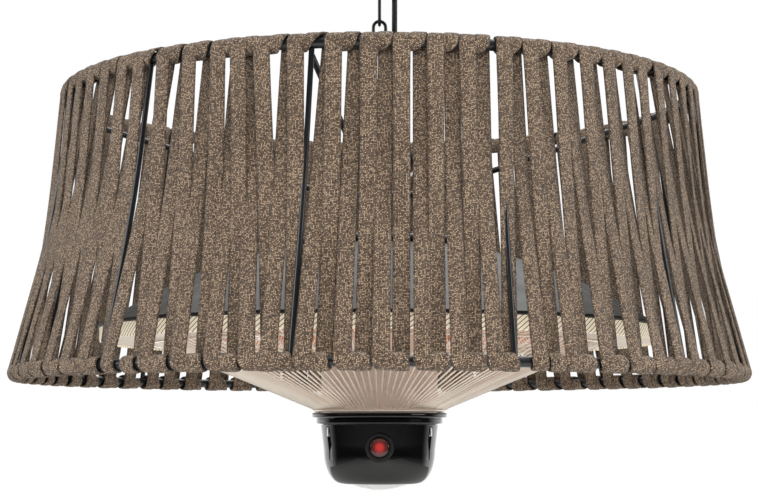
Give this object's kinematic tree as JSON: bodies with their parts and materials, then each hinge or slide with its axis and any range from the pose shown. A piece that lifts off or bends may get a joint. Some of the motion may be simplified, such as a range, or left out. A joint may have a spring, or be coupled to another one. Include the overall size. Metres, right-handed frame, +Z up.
{
  "type": "hanging patio heater",
  "caption": "Domed halogen patio heater head with a wire guard and a control housing, inside a round shade wound with flat woven strap, hung from a hook by a link chain.",
  "frame": {"origin": "centre of the upper face of the ceiling plate, which lies against the ceiling", "axes": "+Z up, front with the power button towards -Y, +X to the right seen from the front"},
  "size_m": [0.6012, 0.6012, 0.4477],
  "materials": {
    "strap_cloth": "woven melange strap",
    "black_steel": "gloss black paint",
    "dome_paint": "satin grey-blue enamel",
    "rim_steel": "satin",
    "bright_steel": "bright",
    "chrome_wire": "mirror",
    "lamp_glass": "clear amber",
    "ceramic": null,
    "gloss_black": "gloss",
    "soft_black": "matt",
    "red_lens": "translucent gloss",
    "white_lens": "translucent satin",
    "circuit_board": "white lacquer"
  },
  "bodies": {
    "ceiling_mount": {"ceiling_plate": "soft_black", "ceiling_hook": "black_steel", "cable_gland_upper": "soft_black"},
    "first_link": {"chain_link_1": "black_steel"},
    "chain": {"chain_link_2": "black_steel", "chain_link_3": "black_steel", "chain_link_4": "black_steel", "chain_link_5": "black_steel", "power_cable": "soft_black"},
    "last_link": {"chain_link_6": "black_steel"},
    "heater": {"strap_bay_01": "strap_cloth", "strap_bay_02": "strap_cloth", "strap_bay_03": "strap_cloth", "strap_bay_04": "strap_cloth", "strap_bay_05": "strap_cloth", "strap_bay_06": "strap_cloth", "strap_bay_07": "strap_cloth", "strap_bay_08": "strap_cloth", "strap_bay_09": "strap_cloth", "strap_bay_10": "strap_cloth", "strap_bay_11": "strap_cloth", "strap_bay_12": "strap_cloth", "shade_top_hoop": "black_steel", "shade_bottom_hoop": "black_steel", "shade_spider": "black_steel", "top_cap": "black_steel", "stem": "black_steel", "rib_01": "black_steel", "rib_02": "black_steel", "rib_03": "black_steel", "rib_04": "black_steel", "rib_05": "black_steel", "rib_06": "black_steel", "rib_07": "black_steel", "rib_08": "black_steel", "rib_09": "black_steel", "rib_10": "black_steel", "rib_11": "black_steel", "rib_12": "black_steel", "dome_shell": "dome_paint", "rim_band": "rim_steel", "reflector": "bright_steel", "centre_tube": "bright_steel", "eye_bolt": "bright_steel", "eye_nut": "bright_steel", "housing_clip_1": "bright_steel", "housing_clip_2": "bright_steel", "housing_clip_3": "bright_steel", "wire_guard": "chrome_wire", "lamp_outer": "lamp_glass", "lamp_inner": "lamp_glass", "lamp_holder": "ceramic", "housing_cover": "gloss_black", "control_housing": "gloss_black", "rim_seal": "soft_black", "button_bezel": "soft_black", "cable_gland_lower": "soft_black", "led_lens": "white_lens", "led_board": "circuit_board"},
    "button": {"power_button": "red_lens"}
  },
  "joints": [
    {"name": "hook_swing", "type": "hinge", "parent": "ceiling_mount", "child": "first_link", "pos_m": [0, 0, -0.0369], "axis": [1, 0, 0], "range_deg": [-10, 10], "deforming": ["power_cable"]},
    {"name": "chain_swing", "type": "hinge", "parent": "first_link", "child": "chain", "pos_m": [0, 0, -0.0614], "axis": [0, 1, 0], "range_deg": [-10, 10], "deforming": ["power_cable"]},
    {"name": "last_link_swing", "type": "hinge", "parent": "chain", "child": "last_link", "pos_m": [0, 0, -0.1587], "axis": [1, 0, 0], "range_deg": [-7, 7], "deforming": ["power_cable"]},
    {"name": "eye_swing", "type": "hinge", "parent": "last_link", "child": "heater", "pos_m": [0, 0, -0.1832], "axis": [0, 1, 0], "range_deg": [-7, 7], "deforming": ["power_cable"]},
    {"name": "button_press", "type": "slide", "parent": "heater", "child": "button", "axis": [0, 1, 0], "range_m": [0, 0.002], "stiffness_N_per_m": 300, "springref_m": -0.003}
  ]
}
